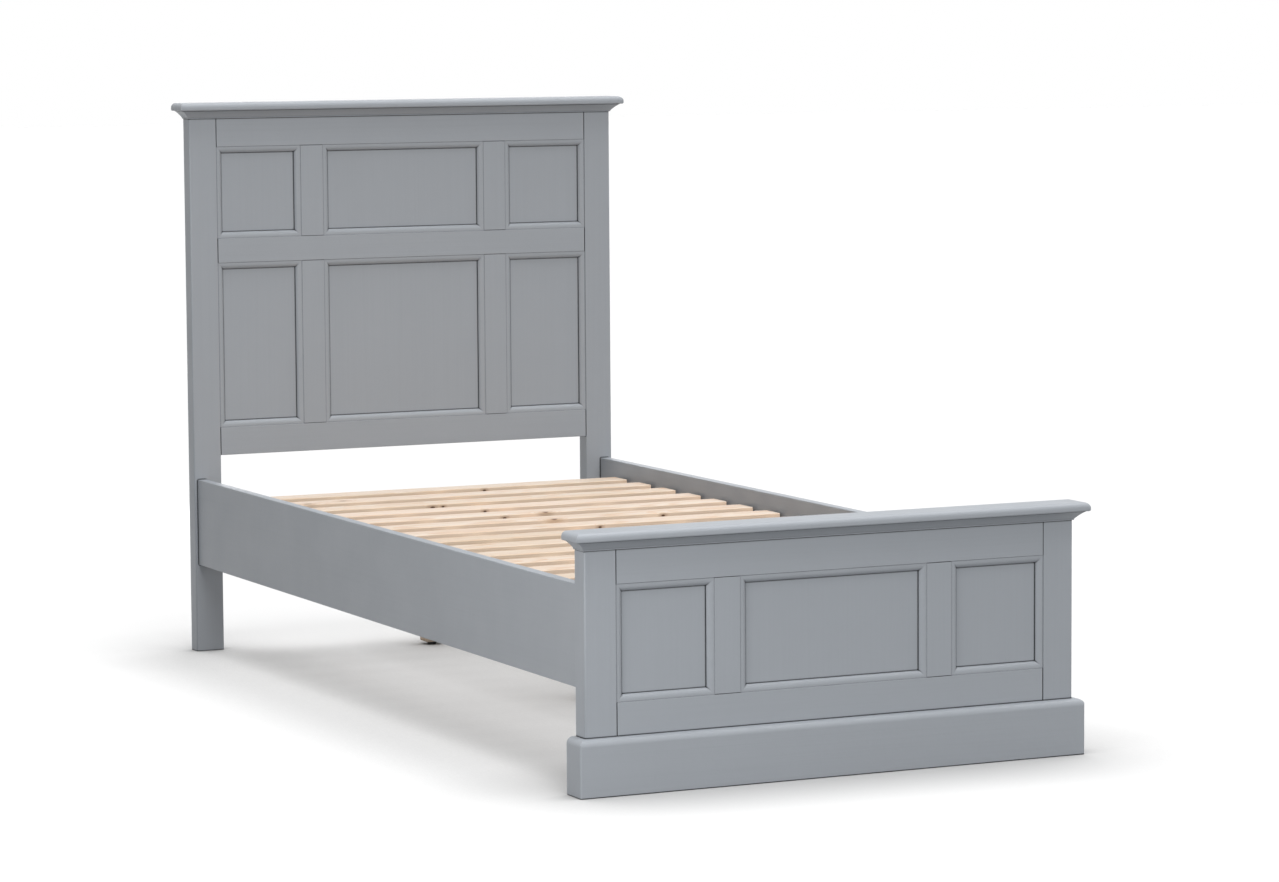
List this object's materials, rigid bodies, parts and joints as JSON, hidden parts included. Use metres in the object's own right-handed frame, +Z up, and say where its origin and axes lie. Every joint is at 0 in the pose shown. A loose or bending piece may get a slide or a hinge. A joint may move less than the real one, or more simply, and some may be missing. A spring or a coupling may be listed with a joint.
{
  "type": "panel bed",
  "caption": "Single bed with a tall panelled headboard, a low panelled footboard on a plinth, side rails and a slatted pine base.",
  "frame": {"origin": "on the floor, below the middle of the bed's outer box", "axes": "+Z up, +Y from the footboard to the headboard, +X to the right as seen from the foot"},
  "size_m": [1.014, 2.016, 1.151],
  "materials": {
    "grey_paint": "satin grey paint on timber",
    "pine": "planed, unfinished",
    "beech": "fluted dowel stock, unfinished",
    "webbing": "woven polypropylene tape",
    "zinc_steel": "zinc plated",
    "black_nylon": "moulded"
  },
  "bodies": {
    "bed_frame": {"cap_dowels": "beech", "centre_rail": "pine", "footboard_beads": "grey_paint", "footboard_bottom_rail": "grey_paint", "footboard_cap": "grey_paint", "footboard_cove": "grey_paint", "footboard_muntins": "grey_paint", "footboard_panel_centre": "grey_paint", "footboard_panel_left": "grey_paint", "footboard_panel_right": "grey_paint", "footboard_plinth": "grey_paint", "footboard_post_left": "grey_paint", "footboard_post_right": "grey_paint", "footboard_top_rail": "grey_paint", "headboard_bottom_rail": "grey_paint", "headboard_cap": "grey_paint", "headboard_cove": "grey_paint", "headboard_lower_beads": "grey_paint", "headboard_lower_muntins": "grey_paint", "headboard_middle_rail": "grey_paint", "headboard_panel_lower_centre": "grey_paint", "headboard_panel_lower_left": "grey_paint", "headboard_panel_lower_right": "grey_paint", "headboard_panel_upper_centre": "grey_paint", "headboard_panel_upper_left": "grey_paint", "headboard_panel_upper_right": "grey_paint", "headboard_post_left": "grey_paint", "headboard_post_right": "grey_paint", "headboard_top_rail": "grey_paint", "headboard_upper_beads": "grey_paint", "headboard_upper_muntins": "grey_paint", "ledger_left": "pine", "ledger_right": "pine", "leg_bolts": "zinc_steel", "leg_inserts": "zinc_steel", "post_slot_plates": "zinc_steel", "rail_hook_plates": "zinc_steel", "side_rail_left": "grey_paint", "side_rail_right": "grey_paint", "support_legs": "pine"},
    "slat_roll": {"slat_01": "pine", "slat_02": "pine", "slat_03": "pine", "slat_04": "pine", "slat_05": "pine", "slat_06": "pine", "slat_07": "pine", "slat_08": "pine", "slat_09": "pine", "slat_10": "pine", "slat_11": "pine", "slat_12": "pine", "slat_13": "pine", "slat_14": "pine", "slat_15": "pine", "webbing_straps": "webbing"},
    "leveller_head": {"leveller_head": "black_nylon"},
    "leveller_mid": {"leveller_mid": "black_nylon"},
    "leveller_foot": {"leveller_foot": "black_nylon"}
  },
  "joints": [
    {"name": "slat_lift", "type": "slide", "parent": "bed_frame", "child": "slat_roll", "axis": [0, 0, 1], "range_m": [0, 0.25]},
    {"name": "leveller_head_screw", "type": "slide", "parent": "bed_frame", "child": "leveller_head", "axis": [0, 0, -1], "range_m": [0, 0.015]},
    {"name": "leveller_mid_screw", "type": "slide", "parent": "bed_frame", "child": "leveller_mid", "axis": [0, 0, -1], "range_m": [0, 0.015]},
    {"name": "leveller_foot_screw", "type": "slide", "parent": "bed_frame", "child": "leveller_foot", "axis": [0, 0, -1], "range_m": [0, 0.015]}
  ]
}
